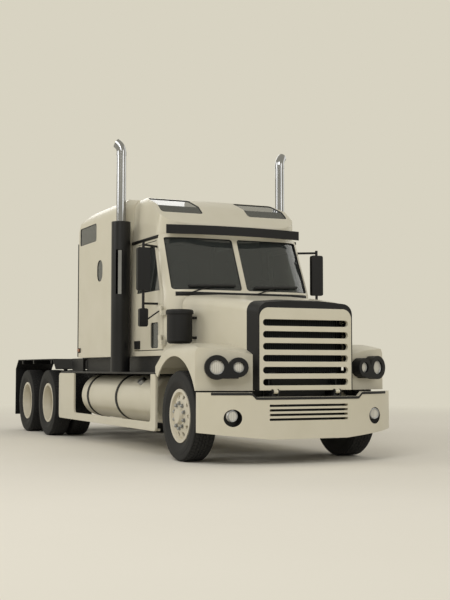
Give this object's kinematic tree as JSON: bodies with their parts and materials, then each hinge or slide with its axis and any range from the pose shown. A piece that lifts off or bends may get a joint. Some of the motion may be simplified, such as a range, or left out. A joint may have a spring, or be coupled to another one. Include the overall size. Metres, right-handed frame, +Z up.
{
  "type": "sleeper road tractor",
  "caption": "Bonneted road tractor with raised-roof sleeper, tandem drive axles, upright stacks, tilting hood, doors, steering and coupling plate.",
  "frame": {"origin": "on the ground under the middle of the vehicle's length and width", "axes": "+X forward along the vehicle, +Y to its left, +Z up"},
  "size_m": [8.4, 2.5956, 4.08],
  "materials": {
    "body_paint": "satin",
    "dark_trim": "satin",
    "chassis_paint": "matt",
    "cast_iron": "rough",
    "radiator_alloy": "matt",
    "lamp_lens": "clear",
    "tail_lamp": "gloss",
    "tinted_glass": "clear",
    "bright_chrome": "polished",
    "shield_enamel": "satin",
    "cab_moulding": "matt",
    "seat_cloth": "woven",
    "wheel_alloy": "satin",
    "tyre_rubber": "matt"
  },
  "bodies": {
    "chassis": {"frame_rails": "chassis_paint", "engine_block": "cast_iron", "radiator": "radiator_alloy", "front_axle_beam": "chassis_paint", "suspension": "chassis_paint", "drive_axles": "chassis_paint", "prop_shafts": "chassis_paint", "fuel_tanks": "body_paint", "tank_straps": "dark_trim", "chassis_fairings": "body_paint", "step_plates": "dark_trim", "rear_mudguards": "dark_trim", "rear_lamps": "tail_lamp", "bumper": "body_paint", "fog_lamps": "lamp_lens", "cab_shell": "body_paint", "cab_roof": "body_paint", "sleeper_shell": "body_paint", "fixed_glass": "tinted_glass", "sun_visor": "dark_trim", "exhaust_stacks": "bright_chrome", "heat_shields": "shield_enamel", "dashboard": "cab_moulding", "seats": "seat_cloth", "bunk": "seat_cloth", "fifth_wheel_base": "chassis_paint"},
    "coupling": {"fifth_wheel_plate": "cast_iron"},
    "hood": {"hood_shell": "body_paint", "grille": "body_paint", "grille_surround": "dark_trim", "headlamp_pods": "dark_trim", "headlamp_lenses": "lamp_lens", "air_cleaners": "dark_trim"},
    "left_door": {"door_left": "body_paint", "door_glass_left": "tinted_glass", "mirror_left": "dark_trim"},
    "right_door": {"door_right": "body_paint", "door_glass_right": "tinted_glass", "mirror_right": "dark_trim"},
    "left_knuckle": {"knuckle_left": "chassis_paint"},
    "right_knuckle": {"knuckle_right": "chassis_paint"},
    "track_rod": {"tie_rod": "chassis_paint"},
    "left_front_wheel": {"front_wheel_left": "wheel_alloy", "front_tyre_left": "tyre_rubber"},
    "right_front_wheel": {"front_wheel_right": "wheel_alloy", "front_tyre_right": "tyre_rubber"},
    "left_drive_wheels_1": {"drive_wheels_1_left": "wheel_alloy", "drive_tyres_1_left": "tyre_rubber"},
    "right_drive_wheels_1": {"drive_wheels_1_right": "wheel_alloy", "drive_tyres_1_right": "tyre_rubber"},
    "left_drive_wheels_2": {"drive_wheels_2_left": "wheel_alloy", "drive_tyres_2_left": "tyre_rubber"},
    "right_drive_wheels_2": {"drive_wheels_2_right": "wheel_alloy", "drive_tyres_2_right": "tyre_rubber"}
  },
  "joints": [
    {"name": "left_steer", "type": "hinge", "parent": "chassis", "child": "left_knuckle", "pos_m": [3.2, 0.885, 0.515], "axis": [0, 0, 1], "range_deg": [-35, 35]},
    {"name": "right_steer", "type": "hinge", "parent": "chassis", "child": "right_knuckle", "pos_m": [3.2, -0.885, 0.515], "axis": [0, 0, 1], "range_deg": [-35, 35]},
    {"name": "track_rod_swing", "type": "hinge", "parent": "left_knuckle", "child": "track_rod", "pos_m": [3, 0.885, 0.377], "axis": [0, 0, 1], "range_deg": [-35, 35]},
    {"name": "left_front_wheel_spin", "type": "hinge", "parent": "left_knuckle", "child": "left_front_wheel", "pos_m": [3.2, 1.025, 0.515], "axis": [0, 1, 0], "continuous": true},
    {"name": "right_front_wheel_spin", "type": "hinge", "parent": "right_knuckle", "child": "right_front_wheel", "pos_m": [3.2, -1.025, 0.515], "axis": [0, 1, 0], "continuous": true},
    {"name": "left_drive_wheels_1_spin", "type": "hinge", "parent": "chassis", "child": "left_drive_wheels_1", "pos_m": [-2.21, 0.915, 0.515], "axis": [0, 1, 0], "continuous": true},
    {"name": "right_drive_wheels_1_spin", "type": "hinge", "parent": "chassis", "child": "right_drive_wheels_1", "pos_m": [-2.21, -0.915, 0.515], "axis": [0, 1, 0], "continuous": true},
    {"name": "left_drive_wheels_2_spin", "type": "hinge", "parent": "chassis", "child": "left_drive_wheels_2", "pos_m": [-3.51, 0.915, 0.515], "axis": [0, 1, 0], "continuous": true},
    {"name": "right_drive_wheels_2_spin", "type": "hinge", "parent": "chassis", "child": "right_drive_wheels_2", "pos_m": [-3.51, -0.915, 0.515], "axis": [0, 1, 0], "continuous": true},
    {"name": "hood_tilt", "type": "hinge", "parent": "chassis", "child": "hood", "pos_m": [4.13, 0, 0.8], "axis": [0, 1, 0], "range_deg": [0, 62]},
    {"name": "left_door_swing", "type": "hinge", "parent": "chassis", "child": "left_door", "pos_m": [2.357, 1.047, 1.6], "axis": [0, 0, -1], "range_deg": [0, 72]},
    {"name": "right_door_swing", "type": "hinge", "parent": "chassis", "child": "right_door", "pos_m": [2.357, -1.047, 1.6], "axis": [0, 0, 1], "range_deg": [0, 72]},
    {"name": "coupling_tilt", "type": "hinge", "parent": "chassis", "child": "coupling", "pos_m": [-2.71, 0, 1.132], "axis": [0, 1, 0], "range_deg": [-10, 10]}
  ],
  "couplings": [
    {"joint": "right_steer", "follows": "left_steer", "ratio": 1},
    {"joint": "track_rod_swing", "follows": "left_steer", "ratio": -1}
  ]
}
